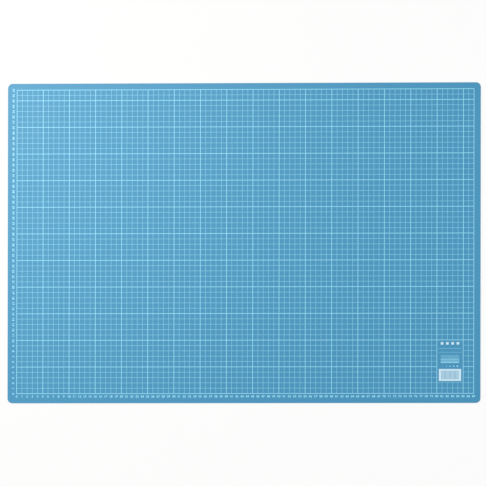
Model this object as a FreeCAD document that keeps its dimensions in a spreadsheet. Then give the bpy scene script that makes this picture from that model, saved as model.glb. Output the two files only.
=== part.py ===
# Desk cutting mat, 900 x 600 mm: a five-ply laminated sheet with a centimetre grid printed on its top face.
# Frame: the sheet lies on the XY plane with its long side along X and its underside at Z = 0.
# The origin is at the centre of the underside. Sizes are in millimetres.
import FreeCAD, Part
import os

import Sketcher
from FreeCAD import Vector

DRIVING_SIZES = [
    # the sheet
    ("mat_length", 900.0),
    ("mat_width", 600.0),
    ("corner_radius", 9.0),
    ("edge_round", 0.35),
    # the five plies, counted from either face to the middle
    ("surface_ply", 0.7),
    ("tie_ply", 0.4),
    ("core_ply", 0.8),
    # the printed film and its lines
    ("ink_film", 0.03),
    ("bold_line", 1.0),
    ("rule_line", 0.4),
    # the grid, placed by its margins: from the sheet's edges to the middle of the border line
    ("left_margin", 17.5),
    ("right_margin", 12.5),
    ("bottom_margin", 18.0),
    ("top_margin", 12.0),
    ("bold_pitch", 50.0),
    # the window: a part of the last whole bold column without grid lines. Its prints stack up from its
    # lower side, and each rise is the clear height from one to the next.
    ("window_low", 20.0),
    ("window_headroom", 3.6),
    # the bar patch, a solid rectangle with a comb of clear bars
    ("patch_rise", 3.1),
    ("patch_inset", 3.9),
    ("patch_width", 22.5),
    ("comb_end", 5.0),
    ("comb_rim", 3.1),
    ("bar_width", 1.0),
    ("bar_count", 14),
    # the dot gauge, a row of discs of rising diameter
    ("dot_rise", 5.2),
    ("dot_first", 1.0),
    ("dot_step", 0.5),
    ("dot_count", 5),
    # the line gauge, parallel lines of falling weight
    ("gauge_rise", 6.2),
    ("gauge_inset", 7.5),
    ("gauge_pitch", 2.8),
    ("gauge_finest", 0.4),
    ("gauge_step", 0.2),
    ("gauge_count", 6),
    # the long rules
    ("rule_rise", 5.3),
    ("rule_spacing", 7.1),
    ("rule_count", 2),
    # the scale bar, blocks with gaps as long as the blocks
    ("scale_rise", 7.0),
    ("scale_height", 4.7),
    ("scale_count", 4),
]

TOUCH = 1e-6  # what lies closer than this is at the same height

doc = FreeCAD.newDocument("cutting_mat")


def make_sizes_sheet():
    """One row for each driving size, with the value's cell named by its alias."""
    sheet = doc.addObject("Spreadsheet::Sheet", "Sizes")
    for row, (alias, value) in enumerate(DRIVING_SIZES, start=1):
        sheet.set(f"A{row}", alias)
        sheet.set(f"B{row}", str(value))
        sheet.setAlias(f"B{row}", alias)
    doc.recompute()
    return sheet


sizes = make_sizes_sheet()

# What follows from the driving sizes, as expressions of the sheet's cells.
MAT_THICKNESS = "(2 * Sizes.surface_ply + 2 * Sizes.tie_ply + Sizes.core_ply)"
HALF_BOLD = "(Sizes.bold_line / 2)"
GRID_LEFT = "(Sizes.left_margin - Sizes.mat_length / 2)"
GRID_BOTTOM = "(Sizes.bottom_margin - Sizes.mat_width / 2)"
GRID_LENGTH = "(Sizes.mat_length - Sizes.left_margin - Sizes.right_margin)"
GRID_WIDTH = "(Sizes.mat_width - Sizes.bottom_margin - Sizes.top_margin)"
BOLD_COLUMNS = f"floor({GRID_LENGTH} / Sizes.bold_pitch)"
BOLD_ROWS = f"floor({GRID_WIDTH} / Sizes.bold_pitch)"

# The window and its prints, from the lower side up, measured from the grid's zero point.
WINDOW_RIGHT = f"({BOLD_COLUMNS} * Sizes.bold_pitch)"
WINDOW_LEFT = f"({WINDOW_RIGHT} - Sizes.bold_pitch)"
PATCH_LOW = "(Sizes.window_low + Sizes.patch_rise)"
PATCH_TOP = f"({PATCH_LOW} + Sizes.patch_width)"
DOTS_MIDDLE = f"({PATCH_TOP} + Sizes.dot_rise)"
GAUGE_LOW = f"({DOTS_MIDDLE} + Sizes.gauge_rise)"
GAUGE_TOP = f"({GAUGE_LOW} + (Sizes.gauge_count - 1) * Sizes.gauge_pitch + Sizes.gauge_finest)"
RULE_LOW = f"({GAUGE_TOP} + Sizes.rule_rise)"
RULES_TOP = f"({RULE_LOW} + (Sizes.rule_count - 1) * Sizes.rule_spacing + Sizes.rule_line)"
SCALE_LOW = f"({RULES_TOP} + Sizes.scale_rise)"
WINDOW_HIGH = f"({SCALE_LOW} + Sizes.scale_height + Sizes.window_headroom)"


def origin_feature(body, role):
    return next(f for f in body.Origin.OriginFeatures if f.Role == role)


def new_body(label, x="0", y="0", z="0"):
    """An empty body, named after its piece, whose place is bound to three expressions."""
    body = doc.addObject("PartDesign::Body", label)
    body.Label = label
    body.AllowCompound = True
    for axis, expression in zip("xyz", (x, y, z)):
        body.setExpression(f"Placement.Base.{axis}", expression)
    return body


def print_body(label):
    """A body for a piece of the printed film: its X = Y = 0 is the grid's zero point, on the top face."""
    return new_body(label, GRID_LEFT, GRID_BOTTOM, MAT_THICKNESS)


def new_sketch(body, name):
    sketch = body.newObject("Sketcher::SketchObject", name)
    sketch.AttachmentSupport = [(origin_feature(body, "XY_Plane"), "")]
    sketch.MapMode = "FlatFace"
    return sketch


def bind(sketch, name, constraint, expression):
    index = sketch.addConstraint(constraint)
    sketch.renameConstraint(index, name)
    sketch.setExpression(f"Constraints.{name}", expression)


def add_rectangle(sketch, name, left, right, low, high):
    """A rectangle whose four sides stand at four expressions, measured from the sketch's origin."""
    first = sketch.GeometryCount
    corners = [Vector(0, 0), Vector(1, 0), Vector(1, 1), Vector(0, 1)]
    for start, end in zip(corners, corners[1:] + corners[:1]):
        sketch.addGeometry(Part.LineSegment(start, end), False)
    south, east, north, west = range(first, first + 4)
    for side, following in ((south, east), (east, north), (north, west), (west, south)):
        sketch.addConstraint(Sketcher.Constraint("Coincident", side, 2, following, 1))
    for side in (south, north):
        sketch.addConstraint(Sketcher.Constraint("Horizontal", side))
    for side in (east, west):
        sketch.addConstraint(Sketcher.Constraint("Vertical", side))
    bind(sketch, f"{name}_left", Sketcher.Constraint("DistanceX", -1, 1, south, 1, 0.0), left)
    bind(sketch, f"{name}_right", Sketcher.Constraint("DistanceX", -1, 1, south, 2, 1.0), right)
    bind(sketch, f"{name}_low", Sketcher.Constraint("DistanceY", -1, 1, south, 1, 0.0), low)
    bind(sketch, f"{name}_high", Sketcher.Constraint("DistanceY", -1, 1, north, 1, 1.0), high)


def rectangle_sketch(body, name, left, right, low, high):
    sketch = new_sketch(body, name)
    add_rectangle(sketch, "side", left, right, low, high)
    return sketch


def new_feature(body, kind, name):
    """A feature that leaves its faces as they are cut. Merging the grid's into one, with a hole
    for every cell, would make each later step slow."""
    feature = body.newObject(f"PartDesign::{kind}", name)
    feature.Refine = False
    return feature


def pad(body, sketch, length):
    feature = new_feature(body, "Pad", f"{sketch.Name}_pad")
    feature.Profile = (sketch, [""])
    feature.setExpression("Length", length)
    doc.recompute()
    return feature


def pocket_through(body, sketch):
    """Cuts the sketch out of the whole body, on both sides of its plane."""
    feature = new_feature(body, "Pocket", f"{sketch.Name}_pocket")
    feature.Profile = (sketch, [""])
    feature.Type = "ThroughAll"
    feature.Midplane = True
    doc.recompute()
    return feature


def pattern(body, original, axis_role, spacing, count):
    """Repeats a pad or pocket along one of the body's axes, at a spacing, count times in all."""
    feature = new_feature(body, "LinearPattern", f"{original.Name}_row")
    feature.Originals = [original]
    feature.Direction = (origin_feature(body, axis_role), [""])
    feature.Mode = "Spacing"
    feature.setExpression("Offset", spacing)
    feature.setExpression("Occurrences", count)
    body.Tip = feature
    doc.recompute()
    return feature


def fillet(body, base, wanted, radius):
    """Rounds every edge of the base feature that passes the test."""
    names = [f"Edge{n}" for n, edge in enumerate(base.Shape.Edges, start=1) if wanted(edge)]
    feature = new_feature(body, "Fillet", f"{base.Name}_fillet")
    feature.Base = (base, names)
    feature.setExpression("Radius", radius)
    doc.recompute()
    return feature


def make_ply(label, underside, thickness):
    """One sheet of the laminate, with round corners."""
    body = new_body(label, z=underside)
    outline = rectangle_sketch(
        body, "outline", "-Sizes.mat_length / 2", "Sizes.mat_length / 2",
        "-Sizes.mat_width / 2", "Sizes.mat_width / 2",
    )
    sheet = pad(body, outline, thickness)
    fillet(body, sheet, lambda edge: edge.BoundBox.ZLength > 0, "Sizes.corner_radius")
    return body


def round_top_rim(ply):
    """The cutting die rolls the upper rim over and leaves the lower one sharp."""
    corners = ply.Tip
    level = corners.Shape.BoundBox.ZMax
    fillet(ply, corners, lambda edge: edge.BoundBox.ZMin > level - TOUCH, "Sizes.edge_round")


def make_plies():
    """The laminate from the table up. Each ply lies on the one before it."""
    tie_low = "Sizes.surface_ply"
    core = f"({tie_low} + Sizes.tie_ply)"
    tie_high = f"({core} + Sizes.core_ply)"
    top = f"({tie_high} + Sizes.tie_ply)"
    plies = [
        make_ply("bottom_cutting_ply", "0", "Sizes.surface_ply"),
        make_ply("lower_tie_ply", tie_low, "Sizes.tie_ply"),
        make_ply("rigid_core_ply", core, "Sizes.core_ply"),
        make_ply("upper_tie_ply", tie_high, "Sizes.tie_ply"),
        make_ply("top_cutting_ply", top, "Sizes.surface_ply"),
    ]
    round_top_rim(plies[-1])
    return plies


def make_bold_grid():
    """The border and the bold lines as one net of ink, open at the window."""
    body = print_body("bold_grid_print")
    border = new_sketch(body, "border")
    add_rectangle(
        border, "outer", f"-{HALF_BOLD}", f"{GRID_LENGTH} + {HALF_BOLD}",
        f"-{HALF_BOLD}", f"{GRID_WIDTH} + {HALF_BOLD}",
    )
    add_rectangle(
        border, "inner", HALF_BOLD, f"{GRID_LENGTH} - {HALF_BOLD}",
        HALF_BOLD, f"{GRID_WIDTH} - {HALF_BOLD}",
    )
    pad(body, border, "Sizes.ink_film")
    upright = rectangle_sketch(
        body, "upright", f"Sizes.bold_pitch - {HALF_BOLD}", f"Sizes.bold_pitch + {HALF_BOLD}",
        "0", GRID_WIDTH,
    )
    pattern(body, pad(body, upright, "Sizes.ink_film"), "X_Axis", "Sizes.bold_pitch", BOLD_COLUMNS)
    level = rectangle_sketch(
        body, "level", "0", GRID_LENGTH,
        f"Sizes.bold_pitch - {HALF_BOLD}", f"Sizes.bold_pitch + {HALF_BOLD}",
    )
    pattern(body, pad(body, level, "Sizes.ink_film"), "Y_Axis", "Sizes.bold_pitch", BOLD_ROWS)
    window = rectangle_sketch(
        body, "window", f"{WINDOW_LEFT} + {HALF_BOLD}", f"{WINDOW_RIGHT} - {HALF_BOLD}",
        "Sizes.window_low", WINDOW_HIGH,
    )
    body.Tip = pocket_through(body, window)
    return body


def make_bar_patch():
    """A solid rectangle of ink with evenly spaced clear bars."""
    body = print_body("bar_patch_print")
    patch = rectangle_sketch(
        body, "patch", f"{WINDOW_LEFT} + Sizes.patch_inset", f"{WINDOW_RIGHT} - Sizes.patch_inset",
        PATCH_LOW, PATCH_TOP,
    )
    pad(body, patch, "Sizes.ink_film")
    left = f"({WINDOW_LEFT} + Sizes.patch_inset + Sizes.comb_end)"
    bar = rectangle_sketch(
        body, "bar", left, f"{left} + Sizes.bar_width",
        f"{PATCH_LOW} + Sizes.comb_rim", f"{PATCH_TOP} - Sizes.comb_rim",
    )
    comb = "(Sizes.bold_pitch - 2 * Sizes.patch_inset - 2 * Sizes.comb_end - Sizes.bar_width)"
    pattern(
        body, pocket_through(body, bar), "X_Axis", f"{comb} / (Sizes.bar_count - 1)", "Sizes.bar_count"
    )
    return body


def make_dot_gauge():
    """A row of discs, each wider than the one to its left."""
    body = print_body("dot_gauge_print")
    sketch = new_sketch(body, "dots")
    cell = "((Sizes.bold_pitch - 2 * Sizes.gauge_inset) / Sizes.dot_count)"
    for n in range(int(sizes.dot_count)):
        circle = sketch.addGeometry(Part.Circle(Vector(10 * n, 0), Vector(0, 0, 1), 1), False)
        across = Sketcher.Constraint("DistanceX", -1, 1, circle, 3, 10.0 * n)
        up = Sketcher.Constraint("DistanceY", -1, 1, circle, 3, 0.0)
        bind(sketch, f"dot_{n}_across", across, f"{WINDOW_LEFT} + Sizes.gauge_inset + {n + 0.5} * {cell}")
        bind(sketch, f"dot_{n}_up", up, DOTS_MIDDLE)
        size = Sketcher.Constraint("Diameter", circle, 2.0)
        bind(sketch, f"dot_{n}_size", size, f"Sizes.dot_first + {n} * Sizes.dot_step")
    pad(body, sketch, "Sizes.ink_film")
    return body


def make_line_gauge():
    """Parallel lines, each heavier than the one above it, to compare a pen line or a cut with."""
    body = print_body("line_gauge_print")
    sketch = new_sketch(body, "weights")
    for n in range(int(sizes.gauge_count)):
        low = f"({GAUGE_LOW} + {n} * Sizes.gauge_pitch)"
        weight = f"(Sizes.gauge_finest + (Sizes.gauge_count - 1 - {n}) * Sizes.gauge_step)"
        add_rectangle(
            sketch, f"line_{n}", f"{WINDOW_LEFT} + Sizes.gauge_inset",
            f"{WINDOW_RIGHT} - Sizes.gauge_inset", low, f"{low} + {weight}",
        )
    pad(body, sketch, "Sizes.ink_film")
    return body


def make_rules():
    """Thin rules, as long as the bar patch."""
    body = print_body("rule_print")
    rule = rectangle_sketch(
        body, "rule", f"{WINDOW_LEFT} + Sizes.patch_inset", f"{WINDOW_RIGHT} - Sizes.patch_inset",
        RULE_LOW, f"{RULE_LOW} + Sizes.rule_line",
    )
    pattern(body, pad(body, rule, "Sizes.ink_film"), "Y_Axis", "Sizes.rule_spacing", "Sizes.rule_count")
    return body


def make_scale_bar():
    """A row of solid blocks with gaps as long as the blocks, like the scale bar of a map."""
    body = print_body("scale_bar_print")
    block = "((Sizes.bold_pitch - 2 * Sizes.gauge_inset) / (2 * Sizes.scale_count - 1))"
    first = rectangle_sketch(
        body, "block", f"{WINDOW_LEFT} + Sizes.gauge_inset",
        f"{WINDOW_LEFT} + Sizes.gauge_inset + {block}", SCALE_LOW, f"{SCALE_LOW} + Sizes.scale_height",
    )
    pattern(body, pad(body, first, "Sizes.ink_film"), "X_Axis", f"2 * {block}", "Sizes.scale_count")
    return body


def make_window_prints():
    return [make_bar_patch(), make_dot_gauge(), make_line_gauge(), make_rules(), make_scale_bar()]


def write_steps(bodies):
    """Checks every feature and shape, then writes one STEP file for each piece."""
    doc.recompute()
    failed = [o.Name for o in doc.Objects if {"Invalid", "Error"} & set(o.State)]
    bad = [b.Label for b in bodies if b.Shape.isNull() or not b.Shape.isValid()]
    if failed or bad:
        raise RuntimeError(f"features that failed: {failed}; pieces with a bad shape: {bad}")
    os.makedirs("parts", exist_ok=True)
    for body in bodies:
        body.Shape.exportStep(f"parts/{body.Label}.step")
        print(f"{body.Label}: {len(body.Shape.Solids)} solids, {body.Shape.Volume:.2f} cubic mm")


write_steps(make_plies() + [make_bold_grid()] + make_window_prints())
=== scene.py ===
import math

import bmesh
import bpy
from mathutils import Matrix, Vector


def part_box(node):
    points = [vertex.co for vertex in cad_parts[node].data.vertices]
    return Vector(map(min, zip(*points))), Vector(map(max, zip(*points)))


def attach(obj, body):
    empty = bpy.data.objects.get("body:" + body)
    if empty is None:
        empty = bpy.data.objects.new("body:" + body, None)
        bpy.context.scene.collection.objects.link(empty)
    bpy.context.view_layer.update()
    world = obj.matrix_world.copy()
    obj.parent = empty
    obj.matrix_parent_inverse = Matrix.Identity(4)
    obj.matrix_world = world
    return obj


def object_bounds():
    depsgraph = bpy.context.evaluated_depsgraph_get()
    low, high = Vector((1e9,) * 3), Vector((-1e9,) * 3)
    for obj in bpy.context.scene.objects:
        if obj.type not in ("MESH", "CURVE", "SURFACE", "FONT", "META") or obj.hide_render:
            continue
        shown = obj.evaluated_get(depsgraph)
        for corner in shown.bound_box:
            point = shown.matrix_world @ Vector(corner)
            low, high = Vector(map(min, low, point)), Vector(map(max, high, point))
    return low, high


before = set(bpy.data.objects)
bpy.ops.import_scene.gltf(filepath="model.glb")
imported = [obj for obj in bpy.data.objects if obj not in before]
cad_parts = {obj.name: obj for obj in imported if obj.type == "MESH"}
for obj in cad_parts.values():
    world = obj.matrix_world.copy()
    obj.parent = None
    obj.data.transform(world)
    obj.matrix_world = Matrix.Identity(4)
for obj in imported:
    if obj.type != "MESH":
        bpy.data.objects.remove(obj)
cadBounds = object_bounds()
print("frame loaded:", len(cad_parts), "nodes")


class Wire:  # a node's output; sums and products of it add Math nodes
    def __init__(self, tree, socket=None):
        self.tree = tree
        self.socket = socket

    def node(self, kind, settings=None, sockets=None, take=0):
        made = self.tree.nodes.new(kind)
        for name, value in (settings or {}).items():
            setattr(made, name, value)
        for name, value in (sockets or {}).items():
            if isinstance(value, Wire):
                self.tree.links.new(value.socket, made.inputs[name])
            else:
                made.inputs[name].default_value = value
        return Wire(self.tree, made.outputs[take] if made.outputs else None)

    def math(self, operation, first, second):
        return self.node("ShaderNodeMath", {"operation": operation}, {0: first, 1: second})

    def __add__(self, other):
        return self.math("ADD", self, other)

    def __radd__(self, other):
        return self.math("ADD", other, self)

    def __mul__(self, other):
        return self.math("MULTIPLY", self, other)

    def __rmul__(self, other):
        return self.math("MULTIPLY", other, self)

    def blend(self, low, high):  # from the colour low at 0 to the colour high at 1
        sockets = {0: self, 6: low, 7: high}  # a Mix node's factor and its two colours
        return self.node("ShaderNodeMix", {"data_type": "RGBA"}, sockets, take=2)

    def noise(self, scale, detail, stretch=(1, 1, 1)):  # scale is in waves for each metre
        place = self.node("ShaderNodeTexCoord", take="Object")
        place = self.node("ShaderNodeMapping", {}, {"Vector": place, "Scale": stretch})
        sockets = {"Vector": place, "Scale": scale, "Detail": detail}
        return self.node("ShaderNodeTexNoise", {}, sockets)


# a colour as a paint chart gives it, from 0 to 255, made linear by the sRGB standard's own curve
def srgb(red, green, blue):
    parts = [part / 255 for part in (red, green, blue)]
    return (*[p / 12.92 if p <= 0.04045 else ((p + 0.055) / 1.055) ** 2.4 for p in parts], 1)


def shade(colour, amount):  # the same colour, lighter or darker
    return (*[min(1, part * amount) for part in colour[:3]], 1)


def newMaterial(name):
    material = bpy.data.materials.new(name)
    material.use_nodes = True
    material.node_tree.nodes.clear()
    return material, Wire(material.node_tree)


def finishMaterial(start, colour, roughness, height, relief, fixed):
    bump = start.node("ShaderNodeBump", {}, {"Height": height, "Strength": 1.0, "Distance": relief})
    sockets = {"Base Color": colour, "Roughness": roughness, "Normal": bump}
    surface = start.node("ShaderNodeBsdfPrincipled", {}, {**sockets, **fixed})
    start.node("ShaderNodeOutputMaterial", {}, {"Surface": surface})


def rolledGrain(start):  # the matte skin that the embossing roll leaves
    look = {"pebble": 1500, "speck": 5200, "pebbleShare": 0.75, "speckShare": 0.25}  # pebbles of 0.7 mm
    pebble = start.noise(look["pebble"], detail=2)
    speck = start.noise(look["speck"], detail=1)
    return pebble * look["pebbleShare"] + speck * look["speckShare"]


def cuttingPlastic(name, colour):  # soft blue PVC
    look = {
        "mottle": 9,  # slow unevenness from the calender rolls
        "cloud": 130,
        "mottleShare": 0.35,
        "cloudShare": 0.2,
        "grainShare": 0.45,
        "contrast": 0.05,  # how much darker and lighter the colour gets
        "roughness": 0.34,
        "roughnessRise": 0.1,
        "relief": 0.00012,
        "specular": 0.45,
    }
    material, start = newMaterial(name)
    mottle = start.noise(look["mottle"], detail=3)
    cloud = start.noise(look["cloud"], detail=3)
    grain = rolledGrain(start)
    lightness = mottle * look["mottleShare"] + cloud * look["cloudShare"] + grain * look["grainShare"]
    paint = lightness.blend(shade(colour, 1 - look["contrast"]), shade(colour, 1 + look["contrast"]))
    roughness = look["roughness"] + look["roughnessRise"] * mottle + look["roughnessRise"] * grain
    fixed = {"Specular IOR Level": look["specular"]}
    finishMaterial(start, paint, roughness, grain, look["relief"], fixed)
    return material


def cutPly(name, colour, glow):  # the cut rim of an inner ply, streaked where the die went through
    look = {
        "streak": 900,
        "streakStretch": (1, 1, 0.12),  # the streaks run up the rim
        "crumb": 3800,
        "streakShare": 0.7,
        "crumbShare": 0.3,
        "darkest": 0.9,
        "lightest": 1.08,
        "roughness": 0.5,
        "roughnessRise": 0.2,
        "crumbHeight": 0.4,
        "relief": 0.00006,
        "glowDepth": 0.001,
    }
    material, start = newMaterial(name)
    streak = start.noise(look["streak"], detail=3, stretch=look["streakStretch"])
    crumb = start.noise(look["crumb"], detail=2)
    lightness = streak * look["streakShare"] + crumb * look["crumbShare"]
    paint = lightness.blend(shade(colour, look["darkest"]), shade(colour, look["lightest"]))
    roughness = look["roughness"] + look["roughnessRise"] * streak
    height = streak + crumb * look["crumbHeight"]
    fixed = {"Subsurface Weight": glow, "Subsurface Scale": look["glowDepth"]}
    finishMaterial(start, paint, roughness, height, look["relief"], fixed)
    return material


def screenInk(name, colour, under):  # a film of ink that half fills the grain under it
    look = {
        "thread": 3000,  # the threads of the screen
        "cloud": 60,
        "cover": 0.83,  # the least that the ink hides of the plastic
        "cloudCover": 0.1,
        "threadCover": 0.12,
        "grainCover": 0.08,
        "roughness": 0.32,
        "threadRoughness": 0.1,
        "cloudRoughness": 0.08,
        "relief": 0.00006,
        "specular": 0.4,
    }
    material, start = newMaterial(name)
    thread = start.noise(look["thread"], detail=1)
    cloud = start.noise(look["cloud"], detail=3)
    grain = rolledGrain(start)
    cover = look["cover"] + look["cloudCover"] * cloud + look["threadCover"] * thread
    cover = cover + look["grainCover"] * grain
    paint = cover.blend(under, colour)
    roughness = look["roughness"] + look["threadRoughness"] * thread + look["cloudRoughness"] * cloud
    fixed = {"Specular IOR Level": look["specular"]}
    finishMaterial(start, paint, roughness, grain, look["relief"], fixed)
    return material


plastic = {"top": srgb(60, 143, 186), "under": srgb(54, 136, 177)}
ply = {"tie": srgb(150, 198, 220), "core": srgb(228, 233, 234), "tieGlow": 0.3, "coreGlow": 0.15}
ink = {"solid": srgb(206, 235, 250), "line": srgb(158, 231, 255)}  # narrow lines take a thinner coat

topPlastic = cuttingPlastic("topPlastic", plastic["top"])
underPlastic = cuttingPlastic("underPlastic", plastic["under"])
tiePlastic = cutPly("tiePlastic", ply["tie"], ply["tieGlow"])
corePlastic = cutPly("corePlastic", ply["core"], ply["coreGlow"])
solidInk = screenInk("solidInk", ink["solid"], plastic["top"])
lineInk = screenInk("lineInk", ink["line"], plastic["top"])

finishes = {
    "bottom_cutting_ply": underPlastic,
    "lower_tie_ply": tiePlastic,
    "rigid_core_ply": corePlastic,
    "upper_tie_ply": tiePlastic,
    "top_cutting_ply": topPlastic,
    "bold_grid_print": lineInk,
    "bar_patch_print": solidInk,
    "dot_gauge_print": lineInk,
    "line_gauge_print": lineInk,
    "rule_print": lineInk,
    "scale_bar_print": solidInk,
}
for name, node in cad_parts.items():
    node.data.materials.clear()
    node.data.materials.append(finishes[name])
print("finishes made and given to the plies and the prints")


gridLow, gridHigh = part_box("bold_grid_print")
film = {"low": gridLow.z, "thickness": gridHigh.z - gridLow.z}
ruling = {
    "columns": 87,
    "rows": 57,
    "pitch": 0.01,
    "fine": 0.00047,  # widths of the lines
    "bold": 0.001,
    "boldEvery": 5,
}
zero = Vector((gridLow.x, gridLow.y, 0)) + Vector((1, 1, 0)) * ruling["bold"] / 2
opening = {"left": 80, "right": 85, "low": 2, "high": 10}  # the lines around the gauge column


def isBold(line, last):
    return line % ruling["boldEvery"] == 0 or line == last


def lineEdge(index, last):  # a line has two edges: an even index is its near one, the next its far one
    line, far = divmod(index, 2)
    width = ruling["bold"] if isBold(line, last) else ruling["fine"]
    return line * ruling["pitch"] + (far - 0.5) * width


def isPrinted(column, row):  # does this strip crossing hold part of a fine line, and of no bold one?
    lines = [(column, ruling["columns"]), (row, ruling["rows"])]
    on = [isBold(index // 2, last) for index, last in lines if index % 2 == 0]
    acrossOpening = 2 * opening["left"] < column < 2 * opening["right"]
    upOpening = 2 * opening["low"] < row < 2 * opening["high"]
    return bool(on) and not any(on) and not (acrossOpening and upOpening)


def dress(name, mesh, material):  # a finished piece on the only body
    mesh.materials.clear()
    mesh.materials.append(material)
    piece = bpy.data.objects.new(name, mesh)
    bpy.context.scene.collection.objects.link(piece)
    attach(piece, "root")
    return piece


def makeFineGrid():
    across = 2 * ruling["columns"] + 1
    up = 2 * ruling["rows"] + 1
    half = 0.5  # the net starts as a square of one metre about the origin
    net = bmesh.new()
    bmesh.ops.create_grid(net, x_segments=across, y_segments=up, size=half)
    cells = {}
    for face in net.faces:
        middle = face.calc_center_median() + Vector((half, half, 0))
        cells[face] = (int(middle.x * across), int(middle.y * up))
    empty = [face for face, cell in cells.items() if not isPrinted(*cell)]
    for corner in net.verts:
        column = round((corner.co.x + half) * across)
        row = round((corner.co.y + half) * up)
        corner.co = zero + Vector((
            lineEdge(column, ruling["columns"]), lineEdge(row, ruling["rows"]), film["low"],
        ))
    bmesh.ops.delete(net, geom=empty, context="FACES")
    raised = bmesh.ops.extrude_face_region(net, geom=net.faces[:], use_keep_orig=True)
    top = [part for part in raised["geom"] if isinstance(part, bmesh.types.BMVert)]
    bmesh.ops.translate(net, vec=(0, 0, film["thickness"]), verts=top)
    bmesh.ops.recalc_face_normals(net, faces=net.faces)
    mesh = bpy.data.meshes.new("fine_grid")
    net.to_mesh(mesh)
    net.free()
    return dress("fine_grid", mesh, lineInk)


fineGrid = makeFineGrid()
print("one-centimetre lines ruled:", len(fineGrid.data.polygons), "faces")


figures = {
    "height": 0.0038,
    "capShare": 0.7,  # a digit's height, as a share of the font's size
    "weight": 0.03,  # how far each stroke is fattened, as a share of it too
    "breadth": 1.15,  # the printer's digits are broader than the font's
    "curveSteps": 3,
    "weld": 1e-6,  # corners nearer than this become one
    "bottomGap": 0.0053,  # from the border line to the middle of the figures
    "leftGap": 0.0067,
    "leftDrop": 0.0003,  # the left figures stand a little below their lines
}


def numberMesh(number):  # lies on the sheet, centred on its origin
    letters = bpy.data.curves.new("number", "FONT")
    letters.body = str(number)
    letters.size = figures["height"] / figures["capShare"]
    letters.offset = figures["weight"] * letters.size
    letters.extrude = film["thickness"] / 2
    letters.resolution_u = figures["curveSteps"]
    letters.align_x = "CENTER"
    letters.align_y = "BOTTOM_BASELINE"
    lettering = bpy.data.objects.new("number", letters)
    bpy.context.scene.collection.objects.link(lettering)
    bpy.context.view_layer.update()
    mesh = bpy.data.meshes.new_from_object(lettering)
    bpy.data.objects.remove(lettering)
    bpy.data.curves.remove(letters)
    mesh.transform(Matrix.Translation((0, -figures["height"] / 2, film["thickness"] / 2)))
    mesh.transform(Matrix.Diagonal((figures["breadth"], 1, 1, 1)))
    return mesh


def makeNumbers(name, places, turn):  # places are the numbers' middles, in the order of their values
    row = bmesh.new()
    for number, place in enumerate(places):
        mesh = numberMesh(number)
        mesh.transform(Matrix.Translation(place) @ Matrix.Rotation(turn, 4, "Z"))
        row.from_mesh(mesh)
        bpy.data.meshes.remove(mesh)
    bmesh.ops.remove_doubles(row, verts=row.verts, dist=figures["weld"])
    bmesh.ops.recalc_face_normals(row, faces=row.faces)
    mesh = bpy.data.meshes.new(name)
    row.to_mesh(mesh)
    row.free()
    return dress(name, mesh, lineInk)


bottomPlaces = [
    zero + Vector((line * ruling["pitch"], -figures["bottomGap"], film["low"]))
    for line in range(ruling["columns"] + 1)
]
leftPlaces = [
    zero + Vector((-figures["leftGap"], line * ruling["pitch"] - figures["leftDrop"], film["low"]))
    for line in range(ruling["rows"] + 1)
]
bottomNumbers = makeNumbers("bottom_numbers", bottomPlaces, 0)
leftNumbers = makeNumbers("left_numbers", leftPlaces, -math.pi / 2)  # these read from the top down
print("numbers set:", len(bottomNumbers.data.polygons), "and", len(leftNumbers.data.polygons), "faces")


def seenDirectly(start):  # 1 where the camera, gloss or glass looks, 0 for the light that falls on things
    seen = start.node("ShaderNodeLightPath", take="Is Camera Ray")
    for ray in ("Is Glossy Ray", "Is Transmission Ray"):
        seen = seen + start.node("ShaderNodeLightPath", take=ray)
    return seen


def makeFloor():
    table = {
        "reach": 6,
        "drop": 0.0002,  # the gap under the mat
        "whiteness": 0.86,
        "veil": 0.87,  # how much of the shadow pure white hides
    }
    slab = bmesh.new()
    bmesh.ops.create_grid(slab, x_segments=1, y_segments=1, size=table["reach"])
    bmesh.ops.translate(slab, vec=(0, 0, cadBounds[0].z - table["drop"]), verts=slab.verts)
    mesh = bpy.data.meshes.new("floor")
    slab.to_mesh(mesh)
    slab.free()
    material, start = newMaterial("whiteTable")
    veil = seenDirectly(start) * table["veil"]
    paint = start.node("ShaderNodeBsdfDiffuse", {}, {"Color": shade((1, 1, 1), table["whiteness"])})
    white = start.node("ShaderNodeEmission", {}, {"Color": (1, 1, 1, 1), "Strength": 1.0})
    surface = start.node("ShaderNodeMixShader", {}, {0: veil, 1: paint, 2: white})
    start.node("ShaderNodeOutputMaterial", {}, {"Surface": surface})
    mesh.materials.append(material)
    floor = bpy.data.objects.new("floor", mesh)
    bpy.context.scene.collection.objects.link(floor)


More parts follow.
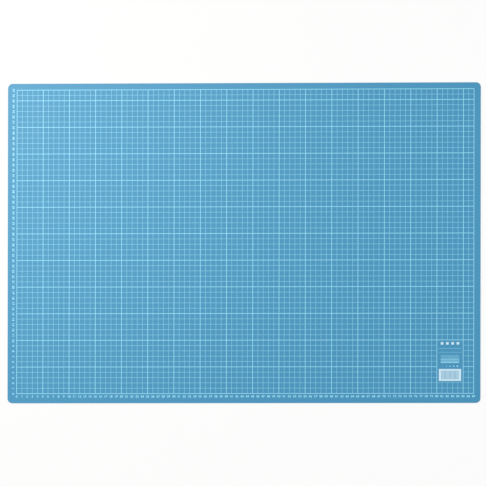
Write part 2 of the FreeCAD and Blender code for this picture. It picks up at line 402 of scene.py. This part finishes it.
def makeSky():
    room = {"light": 0.58, "backdrop": 1.0}  # strengths of white
    world = bpy.data.worlds.new("room")
    world.use_nodes = True
    world.node_tree.nodes.clear()
    bpy.context.scene.world = world
    start = Wire(world.node_tree)
    seen = seenDirectly(start)
    light = start.node("ShaderNodeBackground", {}, {"Color": (1, 1, 1, 1), "Strength": room["light"]})
    white = start.node("ShaderNodeBackground", {}, {"Color": (1, 1, 1, 1), "Strength": room["backdrop"]})
    surface = start.node("ShaderNodeMixShader", {}, {0: seen, 1: light, 2: white})
    start.node("ShaderNodeOutputWorld", {}, {"Surface": surface})


lamps = {
    "windowLamp": {
        "place": (-0.95, 0.5, 1.3),
        "aim": (-0.3, 0.1, 0),
        "size": 0.9,
        "power": 16.0,
        "colour": (1, 0.975, 0.9),  # a little warm
    },
    "fillLamp": {
        "place": (1.1, 0.0, 0.8),
        "aim": (0.45, 0.0, 0),
        "size": 0.8,
        "power": 2.6,
        "colour": (1, 1, 1),
    },
}


def makeLamp(name, place, aim, size, power, colour):
    light = bpy.data.lights.new(name, "AREA")
    light.color = colour
    light.shape = "SQUARE"
    light.size = size
    light.energy = power
    lamp = bpy.data.objects.new(name, light)
    lamp.location = place
    lamp.rotation_euler = (Vector(aim) - Vector(place)).to_track_quat("-Z", "Y").to_euler()
    bpy.context.scene.collection.objects.link(lamp)


def makeCamera():
    shot = {
        "lens": 1500,  # a long lens far off, so that the ruling stays parallel
        "frameWidth": 0.91087,  # what the picture takes in, at the mat's face
        "aside": Vector((-0.00117, 0.0001, 0)),
        "lean": (math.radians(1.22), math.radians(10.13)),  # about X, then about Y
        "roll": math.radians(0.092),
        "reach": 100,  # how far off the camera still sees
    }
    optics = bpy.data.cameras.new("camera")
    optics.lens = shot["lens"]
    optics.clip_end = shot["reach"]
    camera = bpy.data.objects.new("camera", optics)
    camera.rotation_euler = (*shot["lean"], shot["roll"])
    distance = shot["frameWidth"] * optics.lens / optics.sensor_width
    back = camera.rotation_euler.to_matrix() @ Vector((0, 0, distance))
    camera.location = Vector((0, 0, cadBounds[1].z)) + shot["aside"] + back
    bpy.context.scene.collection.objects.link(camera)
    bpy.context.scene.camera = camera


makeCamera()
makeFloor()
makeSky()
for name, settings in lamps.items():
    makeLamp(name, **settings)
bpy.context.scene.view_settings.view_transform = "Standard"
print("camera, floor and lights placed")
